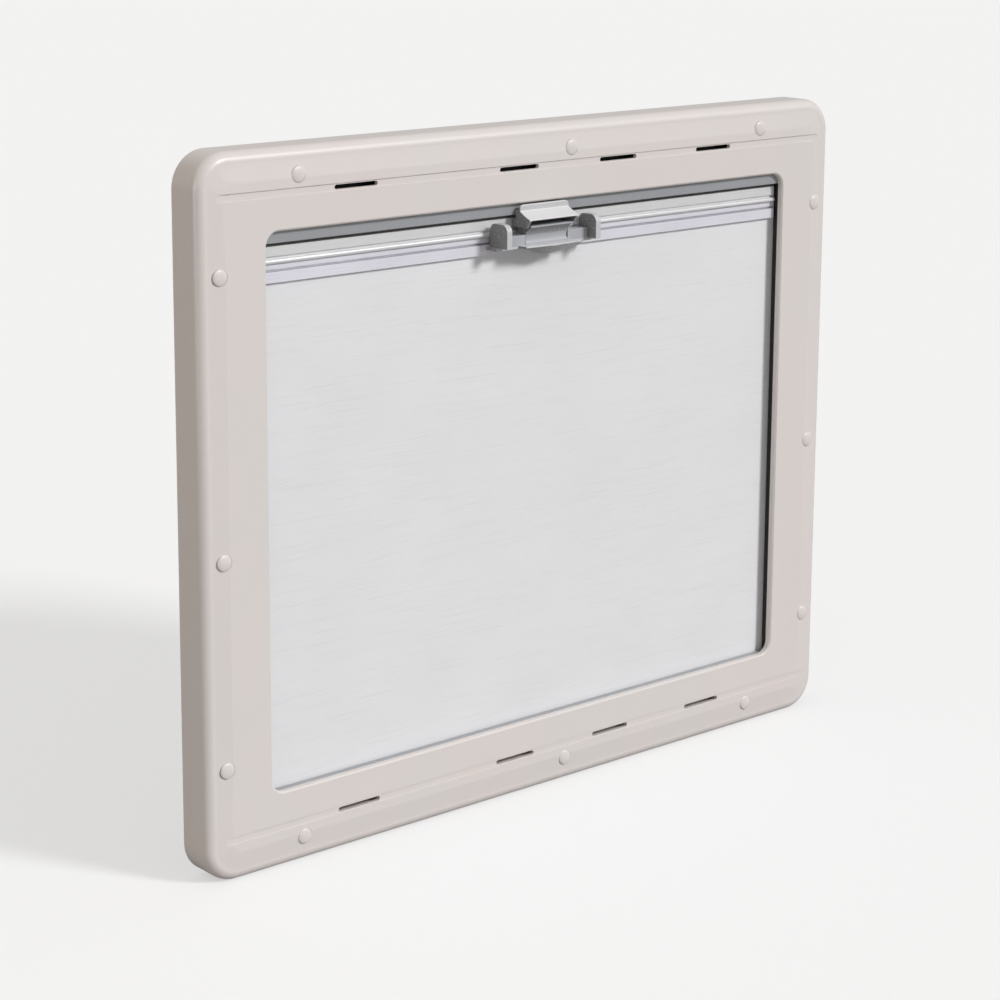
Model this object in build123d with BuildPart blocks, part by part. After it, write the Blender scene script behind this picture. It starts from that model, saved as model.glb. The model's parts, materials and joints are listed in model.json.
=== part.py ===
from build123d import *
import os

os.makedirs("parts", exist_ok=True)

# Overall size of the moulded frame, in millimetres
WIDTH = 640.0
HEIGHT = 535.0
DEPTH = 32.0
SIDE_BORDER = 57.5
CROSS_BORDER = 59.0
CORNER_R = 27.0
OPEN_R = 11.0
EDGE_R = 8.0
WALL = 2.5
CEILING_CUT = 3.5

# Back rim that lies on the wall
RIM_W = 8.0
RIM_T = 3.0

# Raised front face: a flat land inside the rounded edge, then a gentle slope
CROWN = 1.7
LAND_W = 1.5
SLOPE_W = 13.0
SLOPE_R = 9.0

# Lip around the opening
LIP_D = 5.0
LIP_T = 3.0
LIP_CUT = 1.2

# Screw places: caps, pockets and bosses
CAP_INSET_X = 18.0
CAP_INSET_Z = 20.0
CAP_SPAN_X = 468.0
CAP_MID_X = 25.5
CAP_SPAN_Z = 361.0
CAP_MID_Z = -25.0
CAP_R = 5.8
CAP_FIT = 0.4
CAP_H = 5.0
CAP_PROUD = 0.5
POCKET_FLOOR = 16.0
SCREW_R = 2.2
BOSS_T = 2.0
BOSS_SIDES = 8
RIB_T = 2.0

# Vent grooves with their through slots
GROOVE_OFF = 27.0
GROOVE_OVER = 41.5
GROOVE_W = 5.7
GROOVE_T = 1.1
SLOT_L = 39.0
SLOT_W = 3.5
SLOT_X = (-182.5, -27.0, 75.5, 180.5)
VENT_W = 9.0
VENT_D = 9.0
VENT_T = 1.0
VENT_FIT = 0.3

# Blind fabric, mesh and their rollers, set back from the front plane
FABRIC_SET = 12.0
FABRIC_T = 0.6
FABRIC_SIDE = 10.0
MESH_SET = 12.6
MESH_T = 0.4
MESH_SIDE = 8.0
ROLLER_R = 7.5
ROLLER_BORE = 6.0
ROLLER_END = 1.5
ROLLER_GAP = 0.3
PIN_FIT = 0.3
PIN_L = 11.0

# Cassettes above and below the opening
CAS_WALL = 1.5
CAS_BACK = 0.5
CAS_RISE = 22.0
CAS_DROP = 9.0
CAS_ROLLER = 9.5
CAS_SLOT = 3.2
CAS_OVER = 22.0
BRACKET_T = 2.0

# Guide channels at the sides
GUIDE_IN = 2.0
GUIDE_W = 21.5
GUIDE_WALL = 1.5
GUIDE_DEEP = 16.0
BRUSH_W = 3.5
BRUSH_GAP = 0.3

# End rails of the flyscreen and the blind
RAIL_SET = 9.0
RAIL_T = 8.0
RAIL_WALL = 1.2
RAIL_GAP = 1.0
SCREEN_TOP = 12.0
SCREEN_H = 12.8
SCREEN_BAND = 7.1
SCREEN_NOTCH_H = 2.0
SCREEN_NOTCH_T = 1.3
BEAD_OUT = 1.4
RAIL_JOINT = 0.4
BLIND_H = 13.0
BLIND_BAND = 3.5
BLIND_NOTCH_H = 1.5
BLIND_SET = 1.0
BLIND_NOTCH_T = 1.2
BLIND_OUT = 0.4
CAP_PLATE = 1.6
NECK_L = 8.4
NECK_D = 5.0
RUNNER_L = 12.0
RUNNER_FIT = 0.3

# Twin catch near the middle of the rails, in depths from the front plane and drops from the opening's top
CATCH_X = -3.0
BASE_W = 101.0
BASE_T = 2.2
BASE_DROP = 32.0
BASE_OUT = 3.5
SCOOP_W = 52.0
SCOOP_OUT = 14.0
SCOOP_SAG = 9.0
SCOOP_H = 9.0
SCOOP_RUN = 10.0
EAR_X = 45.3
EAR_T = 5.0
EAR_H = 18.5
EAR_OUT = 13.0
EAR_R = 6.0
EAR_GAP = 0.3
BEAM_OUT = 3.5
BEAM_H = 8.0
GRIP_W = 43.0
GRIP_H = 15.2
GRIP_OUT = 10.0
GRIP_LIP = 1.2
GRIP_SCOOP = 5.0
TAB_W = 50.0
TAB_OUT = 12.5
TAB_TOP = 1.2
TAB_PLATE = 4.8
TAB_T = 2.4
TAB_FALL = 5.4
TAB_NOSE = 1.2
TAB_TUCK = 4.3
TAB_DROP = 6.0
TAB_SIDE = 2.4
TAB_FIT = 0.4
TAB_R = 4.0

# Derived places, all from the values above
ZC = HEIGHT / 2 - RIM_W / 2
OPEN_W = WIDTH - 2 * SIDE_BORDER
OPEN_H = HEIGHT - 2 * CROSS_BORDER
Z_TOP = ZC + OPEN_H / 2
Z_BOT = ZC - OPEN_H / 2
SHELF_D = DEPTH - CROWN
CEILING_D = SHELF_D - WALL
LIP_BACK = DEPTH - LIP_D
SLOPE_INSET = EDGE_R + LAND_W
BOSS_R = CAP_R + CAP_FIT + BOSS_T
BOSS_TURN = 180 / BOSS_SIDES
CAP_ROW_Z = HEIGHT / 2 - CAP_INSET_Z
CAP_COL_X = WIDTH / 2 - CAP_INSET_X
CAP_XS = (-CAP_SPAN_X / 2, CAP_MID_X, CAP_SPAN_X / 2)
CAP_ZS = (CAP_SPAN_Z / 2, CAP_MID_Z, -CAP_SPAN_Z / 2)
GROOVE_Z = OPEN_H / 2 + GROOVE_OFF
CAS_X = OPEN_W / 2 + CAS_OVER
CAS_TOP = Z_TOP + CAS_RISE
CAS_LOW = Z_TOP - CAS_DROP
CASE_LOW = Z_BOT - CAS_RISE
GUIDE_X = OPEN_W / 2 + GUIDE_IN
GUIDE_BACK = LIP_BACK - GUIDE_DEEP
FABRIC_D = DEPTH - FABRIC_SET
MESH_D = DEPTH - MESH_SET
RAIL_FRONT = DEPTH - RAIL_SET
RAIL_BACK = RAIL_FRONT - RAIL_T
SCREEN_Z = Z_TOP - SCREEN_TOP
SCREEN_LOW = SCREEN_Z - SCREEN_H
BLIND_Z = SCREEN_LOW - RAIL_JOINT
BLIND_LOW = BLIND_Z - BLIND_H
RAIL_X = OPEN_W / 2 - RAIL_GAP
BAND_D = RAIL_FRONT + BLIND_OUT
EAR_BACK = RAIL_FRONT + BEAD_OUT + EAR_GAP
BASE_Z = Z_TOP - BASE_DROP
BASE_FRONT = DEPTH + BASE_OUT
SCOOP_FRONT = DEPTH + SCOOP_OUT
EAR_FRONT = DEPTH + EAR_OUT
BEAM_FRONT = DEPTH + BEAM_OUT
GRIP_FRONT = DEPTH + GRIP_OUT
TAB_FRONT = DEPTH + TAB_OUT
MESH_ROLL_D = MESH_D - MESH_T / 2 - ROLLER_GAP - ROLLER_R
CLOTH_ROLL_D = FABRIC_D - FABRIC_T / 2 - ROLLER_GAP - ROLLER_R
MESH_ROLL_Z = Z_TOP + CAS_ROLLER
CLOTH_ROLL_Z = Z_BOT - CAS_ROLLER - CAS_WALL


def level(d):
    """Plane parallel to the wall at d in front of it, centred on the frame."""
    return Plane(origin=(0, -d, ZC), x_dir=(1, 0, 0), z_dir=(0, -1, 0))


def keep(builder, node):
    """Name a finished solid and write it as its own file."""
    builder.part.label = node
    export_step(builder.part, "parts/" + node + ".step")


# Hollow of the frame, open to the wall
with BuildPart() as hollow:
    with BuildSketch(level(RIM_T)):
        RectangleRounded(WIDTH - 2 * WALL, HEIGHT - 2 * WALL, CORNER_R - WALL)
    extrude(amount=CEILING_D - RIM_T)
    chamfer(hollow.edges().group_by(Axis.Y)[0], CEILING_CUT)
    with BuildSketch(level(0)):
        RectangleRounded(WIDTH - 2 * RIM_W, HEIGHT - 2 * RIM_W, CORNER_R - RIM_W)
    extrude(amount=RIM_T)

# Moulded frame with crowned face, lip, bosses, ribs, vent grooves and slots
with BuildPart() as front_bezel:
    with BuildSketch(level(0)):
        RectangleRounded(WIDTH, HEIGHT, CORNER_R)
    extrude(amount=SHELF_D)
    fillet(front_bezel.edges().group_by(Axis.Y)[0], EDGE_R)
    with BuildSketch(level(SHELF_D)):
        RectangleRounded(WIDTH - 2 * SLOPE_INSET, HEIGHT - 2 * SLOPE_INSET, CORNER_R - SLOPE_INSET)
    with BuildSketch(level(DEPTH)):
        RectangleRounded(
            WIDTH - 2 * (SLOPE_INSET + SLOPE_W), HEIGHT - 2 * (SLOPE_INSET + SLOPE_W), SLOPE_R
        )
    loft(ruled=True)
    add(hollow.part, mode=Mode.SUBTRACT)
    with BuildSketch(level(LIP_BACK)):
        RectangleRounded(OPEN_W + 2 * LIP_T, OPEN_H + 2 * LIP_T, OPEN_R + LIP_T)
    extrude(amount=LIP_D - CROWN)
    with BuildSketch(level(0)):
        RectangleRounded(OPEN_W, OPEN_H, OPEN_R)
    extrude(amount=DEPTH, mode=Mode.SUBTRACT)
    chamfer(
        front_bezel.edges()
        .group_by(Axis.Y)[0]
        .filter_by(lambda e: abs(e.center().X) < OPEN_W / 2 + 1 and abs(e.center().Z - ZC) < OPEN_H / 2 + 1),
        LIP_CUT,
    )
    with BuildSketch(level(0)):
        with Locations(*[(x, s * CAP_ROW_Z) for x in CAP_XS for s in (1, -1)]):
            RegularPolygon(BOSS_R, BOSS_SIDES, major_radius=False, rotation=BOSS_TURN)
        with Locations(*[(s * CAP_COL_X, z) for z in CAP_ZS for s in (1, -1)]):
            RegularPolygon(BOSS_R, BOSS_SIDES, major_radius=False, rotation=BOSS_TURN)
    extrude(amount=CEILING_D + WALL / 2)
    with BuildSketch(level(RIM_T)):
        with Locations(*[(x, s * (HEIGHT / 2 - CAP_INSET_Z / 2)) for x in CAP_XS for s in (1, -1)]):
            Rectangle(RIB_T, CAP_INSET_Z - WALL)
        with Locations(*[(s * (WIDTH / 2 - CAP_INSET_X / 2), z) for z in CAP_ZS for s in (1, -1)]):
            Rectangle(CAP_INSET_X - WALL, RIB_T)
    extrude(amount=CEILING_D - RIM_T - EDGE_R + WALL)
    with BuildSketch(level(0)):
        with Locations(*[(x, s * CAP_ROW_Z) for x in CAP_XS for s in (1, -1)]):
            Circle(SCREW_R)
        with Locations(*[(s * CAP_COL_X, z) for z in CAP_ZS for s in (1, -1)]):
            Circle(SCREW_R)
    extrude(amount=DEPTH, mode=Mode.SUBTRACT)
    with BuildSketch(level(POCKET_FLOOR)):
        with Locations(*[(x, s * CAP_ROW_Z) for x in CAP_XS for s in (1, -1)]):
            Circle(CAP_R + CAP_FIT)
        with Locations(*[(s * CAP_COL_X, z) for z in CAP_ZS for s in (1, -1)]):
            Circle(CAP_R + CAP_FIT)
    extrude(amount=DEPTH - POCKET_FLOOR, mode=Mode.SUBTRACT)
    with BuildSketch(level(DEPTH - GROOVE_T)):
        with Locations((0, GROOVE_Z), (0, -GROOVE_Z)):
            SlotOverall(OPEN_W + 2 * GROOVE_OVER, GROOVE_W)
    extrude(amount=GROOVE_T, mode=Mode.SUBTRACT)
    with BuildSketch(level(CEILING_D - WALL)):
        with Locations(*[(x, s * GROOVE_Z) for x in SLOT_X for s in (1, -1)]):
            SlotOverall(SLOT_L, SLOT_W)
    extrude(amount=WALL + DEPTH - CEILING_D, mode=Mode.SUBTRACT)
keep(front_bezel, "front_bezel")

# Dark vent channels behind the slots, closed at their backs and ends
for side, word in ((1, "top"), (-1, "bottom")):
    with BuildPart() as vent_channel:
        with BuildSketch(level(CEILING_D - VENT_D)):
            with Locations((0, side * GROOVE_Z)):
                Rectangle(OPEN_W + 2 * GROOVE_OVER, VENT_W)
            with Locations(*[(x, side * CAP_ROW_Z) for x in CAP_XS]):
                RegularPolygon(
                    BOSS_R + VENT_FIT,
                    BOSS_SIDES,
                    major_radius=False,
                    rotation=BOSS_TURN,
                    mode=Mode.SUBTRACT,
                )
        extrude(amount=VENT_D)
        with BuildSketch(level(CEILING_D - VENT_D + VENT_T)):
            with Locations((0, side * GROOVE_Z)):
                Rectangle(OPEN_W + 2 * GROOVE_OVER - 2 * VENT_T, VENT_W - 2 * VENT_T)
        extrude(amount=VENT_D, mode=Mode.SUBTRACT)
    keep(vent_channel, "vent_channel_" + word)

# Push-in cap over each screw
with BuildPart() as screw_cap:
    with BuildSketch(Plane.XZ.offset(DEPTH + CAP_PROUD - CAP_H)):
        Circle(CAP_R)
    extrude(amount=CAP_H)

CAP_ROWS = {
    "top": [(x, ZC + CAP_ROW_Z) for x in CAP_XS],
    "bottom": [(x, ZC - CAP_ROW_Z) for x in CAP_XS],
    "left": [(-CAP_COL_X, ZC + z) for z in CAP_ZS],
    "right": [(CAP_COL_X, ZC + z) for z in CAP_ZS],
}
for word, places in CAP_ROWS.items():
    with BuildPart() as cap_row:
        with Locations(*[(x, 0, z) for x, z in places]):
            add(screw_cap.part)
    keep(cap_row, "screw_caps_" + word)

# Cassette of the flyscreen, open below for the mesh
with BuildPart() as flyscreen_cassette:
    with BuildSketch(Plane.YZ.offset(-CAS_X)):
        with BuildLine():
            Polyline(
                (-MESH_D - CAS_SLOT / 2, CAS_LOW),
                (-LIP_BACK, CAS_LOW),
                (-LIP_BACK, CAS_TOP),
                (-CAS_BACK, CAS_TOP),
                (-CAS_BACK, CAS_LOW),
                (-MESH_D + CAS_SLOT / 2, CAS_LOW),
                (-MESH_D + CAS_SLOT / 2, CAS_LOW + CAS_WALL),
                (-CAS_BACK - CAS_WALL, CAS_LOW + CAS_WALL),
                (-CAS_BACK - CAS_WALL, CAS_TOP - CAS_WALL),
                (-LIP_BACK + CAS_WALL, CAS_TOP - CAS_WALL),
                (-LIP_BACK + CAS_WALL, CAS_LOW + CAS_WALL),
                (-MESH_D - CAS_SLOT / 2, CAS_LOW + CAS_WALL),
                close=True,
            )
        make_face()
    extrude(amount=2 * CAS_X)
keep(flyscreen_cassette, "flyscreen_cassette")

# Cassette of the blind, its top level with the bottom of the opening
with BuildPart() as blind_cassette:
    with BuildSketch(Plane.YZ.offset(-CAS_X)):
        with BuildLine():
            Polyline(
                (-FABRIC_D - CAS_SLOT / 2, Z_BOT),
                (-LIP_BACK, Z_BOT),
                (-LIP_BACK, CASE_LOW),
                (-CAS_BACK, CASE_LOW),
                (-CAS_BACK, Z_BOT),
                (-FABRIC_D + CAS_SLOT / 2, Z_BOT),
                (-FABRIC_D + CAS_SLOT / 2, Z_BOT - CAS_WALL),
                (-CAS_BACK - CAS_WALL, Z_BOT - CAS_WALL),
                (-CAS_BACK - CAS_WALL, CASE_LOW + CAS_WALL),
                (-LIP_BACK + CAS_WALL, CASE_LOW + CAS_WALL),
                (-LIP_BACK + CAS_WALL, Z_BOT - CAS_WALL),
                (-FABRIC_D - CAS_SLOT / 2, Z_BOT - CAS_WALL),
                close=True,
            )
        make_face()
    extrude(amount=2 * CAS_X)
keep(blind_cassette, "blind_cassette")

# End brackets with the pins that carry the rollers
for side, word in ((-1, "left"), (1, "right")):
    with BuildPart() as screen_bracket:
        with BuildSketch(Plane.YZ.offset(side * CAS_X)):
            with Locations((-(LIP_BACK + CAS_BACK) / 2, (CAS_TOP + CAS_LOW) / 2)):
                Rectangle(LIP_BACK - CAS_BACK, CAS_TOP - CAS_LOW)
        extrude(amount=side * BRACKET_T)
        with BuildSketch(Plane.YZ.offset(side * CAS_X)):
            with Locations((-MESH_ROLL_D, MESH_ROLL_Z)):
                Circle(ROLLER_BORE - PIN_FIT)
        extrude(amount=-side * PIN_L)
    keep(screen_bracket, "flyscreen_bracket_" + word)
    with BuildPart() as case_bracket:
        with BuildSketch(Plane.YZ.offset(side * CAS_X)):
            with Locations((-(LIP_BACK + CAS_BACK) / 2, (Z_BOT + CASE_LOW) / 2)):
                Rectangle(LIP_BACK - CAS_BACK, Z_BOT - CASE_LOW)
        extrude(amount=side * BRACKET_T)
        with BuildSketch(Plane.YZ.offset(side * CAS_X)):
            with Locations((-CLOTH_ROLL_D, CLOTH_ROLL_Z)):
                Circle(ROLLER_BORE - PIN_FIT)
        extrude(amount=-side * PIN_L)
    keep(case_bracket, "blind_bracket_" + word)

# Spring rollers inside the cassettes
with BuildPart() as flyscreen_roller:
    with BuildSketch(Plane.YZ.offset(-CAS_X + ROLLER_END)):
        with Locations((-MESH_ROLL_D, MESH_ROLL_Z)):
            Circle(ROLLER_R)
            Circle(ROLLER_BORE, mode=Mode.SUBTRACT)
    extrude(amount=2 * (CAS_X - ROLLER_END))
keep(flyscreen_roller, "flyscreen_roller")
with BuildPart() as blind_roller:
    with BuildSketch(Plane.YZ.offset(-CAS_X + ROLLER_END)):
        with Locations((-CLOTH_ROLL_D, CLOTH_ROLL_Z)):
            Circle(ROLLER_R)
            Circle(ROLLER_BORE, mode=Mode.SUBTRACT)
    extrude(amount=2 * (CAS_X - ROLLER_END))
keep(blind_roller, "blind_roller")

# Side channels that guide the rails, with a brush strip along the front flange
for side, word in ((-1, "left"), (1, "right")):
    with BuildPart() as guide:
        with BuildSketch(Plane.XY.offset(Z_BOT)):
            with BuildLine():
                Polyline(
                    (side * GUIDE_X, -LIP_BACK),
                    (side * (GUIDE_X + GUIDE_W), -LIP_BACK),
                    (side * (GUIDE_X + GUIDE_W), -GUIDE_BACK),
                    (side * GUIDE_X, -GUIDE_BACK),
                    (side * GUIDE_X, -GUIDE_BACK - GUIDE_WALL),
                    (side * (GUIDE_X + GUIDE_W - GUIDE_WALL), -GUIDE_BACK - GUIDE_WALL),
                    (side * (GUIDE_X + GUIDE_W - GUIDE_WALL), -LIP_BACK + GUIDE_WALL),
                    (side * GUIDE_X, -LIP_BACK + GUIDE_WALL),
                    close=True,
                )
            make_face()
        extrude(amount=CAS_LOW - Z_BOT)
    keep(guide, "guide_rail_" + word)
    with BuildPart() as brush:
        with BuildSketch(Plane.XY.offset(Z_BOT)):
            with Locations(
                (
                    side * (GUIDE_X + BRUSH_W / 2),
                    -(LIP_BACK - GUIDE_WALL + FABRIC_D + FABRIC_T / 2 + BRUSH_GAP) / 2,
                )
            ):
                Rectangle(BRUSH_W, LIP_BACK - GUIDE_WALL - FABRIC_D - FABRIC_T / 2 - BRUSH_GAP)
        extrude(amount=CAS_LOW - Z_BOT)
    keep(brush, "brush_seal_" + word)

# End rail of the flyscreen: flat band above a round bead
BEAD_TOP = SCREEN_Z - SCREEN_BAND - SCREEN_NOTCH_H
with BuildPart() as flyscreen_rail:
    with BuildSketch(Plane.YZ.offset(-RAIL_X)):
        with BuildLine():
            Polyline(
                (-RAIL_FRONT + SCREEN_NOTCH_T, SCREEN_LOW),
                (-RAIL_BACK, SCREEN_LOW),
                (-RAIL_BACK, SCREEN_Z),
                (-RAIL_FRONT, SCREEN_Z),
                (-RAIL_FRONT, SCREEN_Z - SCREEN_BAND),
                (-RAIL_FRONT + SCREEN_NOTCH_T, SCREEN_Z - SCREEN_BAND),
                (-RAIL_FRONT + SCREEN_NOTCH_T, BEAD_TOP),
            )
            ThreePointArc(
                (-RAIL_FRONT + SCREEN_NOTCH_T, BEAD_TOP),
                (-RAIL_FRONT - BEAD_OUT, (BEAD_TOP + SCREEN_LOW) / 2),
                (-RAIL_FRONT + SCREEN_NOTCH_T, SCREEN_LOW),
            )
        make_face()
        with Locations(
            (
                -(RAIL_BACK + RAIL_FRONT - SCREEN_NOTCH_T) / 2,
                (SCREEN_Z + SCREEN_LOW) / 2,
            )
        ):
            Rectangle(
                RAIL_FRONT - SCREEN_NOTCH_T - RAIL_BACK - 2 * RAIL_WALL,
                SCREEN_H - 2 * RAIL_WALL,
                mode=Mode.SUBTRACT,
            )
    extrude(amount=2 * RAIL_X)
keep(flyscreen_rail, "flyscreen_rail")

# End rail of the blind: set-back band, fine notch and a tall band below
with BuildPart() as blind_rail:
    with BuildSketch(Plane.YZ.offset(-RAIL_X)):
        with BuildLine():
            Polyline(
                (-RAIL_BACK, BLIND_LOW),
                (-RAIL_BACK, BLIND_Z),
                (-RAIL_FRONT + BLIND_SET, BLIND_Z),
                (-RAIL_FRONT + BLIND_SET, BLIND_Z - BLIND_BAND),
                (-RAIL_FRONT + BLIND_SET + BLIND_NOTCH_T, BLIND_Z - BLIND_BAND),
                (-RAIL_FRONT + BLIND_SET + BLIND_NOTCH_T, BLIND_Z - BLIND_BAND - BLIND_NOTCH_H),
                (-BAND_D, BLIND_Z - BLIND_BAND - BLIND_NOTCH_H),
                (-BAND_D, BLIND_LOW),
                close=True,
            )
        make_face()
        with Locations(
            (
                -(RAIL_BACK + RAIL_FRONT - BLIND_SET - BLIND_NOTCH_T) / 2,
                (BLIND_Z + BLIND_LOW) / 2,
            )
        ):
            Rectangle(
                RAIL_FRONT - BLIND_SET - BLIND_NOTCH_T - RAIL_BACK - 2 * RAIL_WALL,
                BLIND_H - 2 * RAIL_WALL,
                mode=Mode.SUBTRACT,
            )
    extrude(amount=2 * RAIL_X)
keep(blind_rail, "blind_rail")

# End caps that close each rail and run in the guides
RAIL_ROWS = (("flyscreen", SCREEN_Z, SCREEN_LOW, SCREEN_NOTCH_T), ("blind", BLIND_Z, BLIND_LOW, BLIND_SET))
for name, top, low, set_back in RAIL_ROWS:
    for side, word in ((-1, "left"), (1, "right")):
        with BuildPart() as rail_cap:
            with BuildSketch(Plane.YZ.offset(side * RAIL_X)):
                with Locations((-(RAIL_BACK + RAIL_FRONT - set_back) / 2, (top + low) / 2)):
                    Rectangle(RAIL_FRONT - set_back - RAIL_BACK, top - low)
            extrude(amount=side * CAP_PLATE)
            with BuildSketch(Plane.YZ.offset(side * (RAIL_X + CAP_PLATE))):
                with Locations((-RAIL_BACK - NECK_D / 2, (top + low) / 2)):
                    Rectangle(NECK_D, top - low)
            extrude(amount=side * NECK_L)
            with BuildSketch(Plane.YZ.offset(side * (RAIL_X + CAP_PLATE + NECK_L))):
                with Locations((-(GUIDE_BACK + LIP_BACK) / 2, (top + low) / 2)):
                    Rectangle(LIP_BACK - GUIDE_BACK - 2 * GUIDE_WALL - 2 * RUNNER_FIT, top - low)
            extrude(amount=side * RUNNER_L)
        keep(rail_cap, name + "_rail_cap_" + word)

# Mesh between its roller and its rail
with BuildPart() as flyscreen_mesh:
    with BuildSketch(Plane.XY.offset(SCREEN_Z)):
        with Locations((0, -MESH_D)):
            Rectangle(OPEN_W + 2 * MESH_SIDE, MESH_T)
    extrude(amount=MESH_ROLL_Z - SCREEN_Z)
keep(flyscreen_mesh, "flyscreen_mesh")

# Pleat-free blind fabric from its roller to its rail
with BuildPart() as blind_fabric:
    with BuildSketch(Plane.XY.offset(CLOTH_ROLL_Z)):
        with Locations((0, -FABRIC_D)):
            Rectangle(OPEN_W + 2 * FABRIC_SIDE, FABRIC_T)
    extrude(amount=BLIND_LOW - CLOTH_ROLL_Z)
keep(blind_fabric, "blind_fabric")

# Base of the catch: a plate with two upright ears and a bowed scoop in front
SCOOP_R = ((SCOOP_W / 2) ** 2 + SCOOP_SAG**2) / (2 * SCOOP_SAG)
SCOOP_AXIS = Axis((CATCH_X, -SCOOP_FRONT + SCOOP_R, 0), (0, 0, 1))
SCOOP_BACK = SCOOP_FRONT - SCOOP_SAG
with BuildPart() as scoop:
    with BuildSketch(Plane(origin=(CATCH_X, 0, 0), x_dir=(0, 1, 0), z_dir=(1, 0, 0))):
        with BuildLine():
            Polyline(
                (-SCOOP_FRONT + SCOOP_R, BASE_Z),
                (-SCOOP_FRONT, BASE_Z),
                (-SCOOP_FRONT, BASE_Z - BASE_T / 2),
                (-SCOOP_FRONT + SCOOP_RUN, BASE_Z - SCOOP_H),
                (-SCOOP_FRONT + SCOOP_R, BASE_Z - SCOOP_H),
                close=True,
            )
        make_face()
    revolve(axis=SCOOP_AXIS, revolution_arc=360)
    with BuildSketch(Plane.XY.offset(BASE_Z)):
        with Locations((CATCH_X, -(SCOOP_BACK + SCOOP_FRONT) / 2)):
            Rectangle(SCOOP_W, SCOOP_SAG)
    extrude(amount=-SCOOP_H, mode=Mode.INTERSECT)
with BuildPart() as catch_base:
    with BuildSketch(Plane.XY.offset(BASE_Z - BASE_T)):
        with Locations((CATCH_X, -(BAND_D + BASE_FRONT) / 2)):
            Rectangle(BASE_W, BASE_FRONT - BAND_D)
        with Locations((CATCH_X, -(BASE_FRONT + SCOOP_BACK + 1) / 2)):
            Rectangle(SCOOP_W - 2 * BASE_T, SCOOP_BACK + 1 - BASE_FRONT)
    extrude(amount=BASE_T)
    for side in (-1, 1):
        with BuildSketch(Plane.YZ.offset(CATCH_X + side * EAR_X - EAR_T / 2)):
            with Locations((-(EAR_BACK + EAR_FRONT) / 2, BASE_Z + EAR_H / 2)):
                RectangleRounded(EAR_FRONT - EAR_BACK, EAR_H, EAR_R)
            with Locations((-(EAR_BACK + EAR_FRONT) / 2, BASE_Z + EAR_H / 4)):
                Rectangle(EAR_FRONT - EAR_BACK, EAR_H / 2)
        extrude(amount=EAR_T)
    add(scoop.part)
keep(catch_base, "catch_base")

# Grip of the blind: a beam between the ears with a scooped push body
BEAM_W = 2 * (EAR_X - EAR_T / 2 - EAR_GAP)
with BuildPart() as blind_grip:
    with BuildSketch(Plane.YZ.offset(CATCH_X - GRIP_W / 2)):
        with BuildLine():
            Polyline(
                (-GRIP_FRONT + GRIP_LIP, BASE_Z),
                (-EAR_BACK, BASE_Z),
                (-EAR_BACK, BASE_Z + GRIP_H),
                (-GRIP_FRONT, BASE_Z + GRIP_H),
                (-GRIP_FRONT, BASE_Z + GRIP_H - GRIP_LIP),
            )
            ThreePointArc(
                (-GRIP_FRONT, BASE_Z + GRIP_H - GRIP_LIP),
                (-GRIP_FRONT + GRIP_SCOOP, BASE_Z + GRIP_H / 2),
                (-GRIP_FRONT + GRIP_LIP, BASE_Z),
            )
        make_face()
    extrude(amount=GRIP_W)
    with BuildSketch(Plane.XY.offset(BASE_Z)):
        with Locations((CATCH_X, -(EAR_BACK + BEAM_FRONT) / 2)):
            Rectangle(BEAM_W, BEAM_FRONT - EAR_BACK)
    extrude(amount=BEAM_H)
keep(blind_grip, "blind_grip")

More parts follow.
